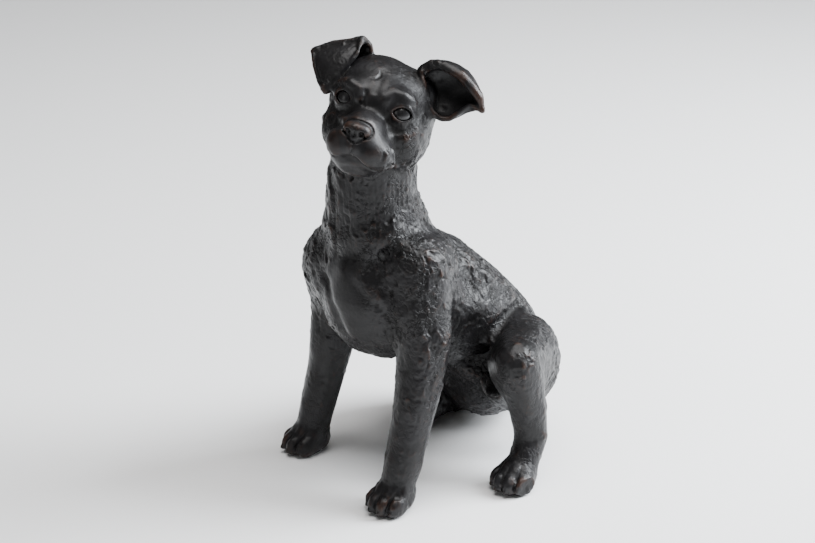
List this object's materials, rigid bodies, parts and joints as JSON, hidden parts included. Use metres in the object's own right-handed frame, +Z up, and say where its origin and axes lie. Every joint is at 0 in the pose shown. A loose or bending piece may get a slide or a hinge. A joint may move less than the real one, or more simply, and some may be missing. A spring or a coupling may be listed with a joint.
{
  "type": "dog figurine",
  "caption": "Seated puppy figurine, its head turned and tilted, an ear folded forward and the other held out sideways, a hind leg splayed and the other tucked under.",
  "frame": {"origin": "middle of the underside of the bounding box, on the surface that the figurine stands on", "axes": "+Z up, -Y the way the body faces, +X the dog's left side"},
  "size_m": [0.1858, 0.2258, 0.3357],
  "materials": {
    "bronze_paint": "satin",
    "eye_paint": "gloss",
    "felt": "matte"
  },
  "bodies": {
    "root": {"torso_shell": "bronze_paint", "head_shell": "bronze_paint", "foreleg_left": "bronze_paint", "foreleg_right": "bronze_paint", "hind_leg_left": "bronze_paint", "hind_leg_right": "bronze_paint", "tail": "bronze_paint", "ear_left": "bronze_paint", "ear_right": "bronze_paint", "nose": "bronze_paint", "eye_left": "eye_paint", "eye_right": "eye_paint", "forepaw_pad_left": "felt", "forepaw_pad_right": "felt", "hind_paw_pad_left": "felt", "hind_paw_pad_right": "felt", "haunch_pad": "felt"}
  },
  "joints": []
}
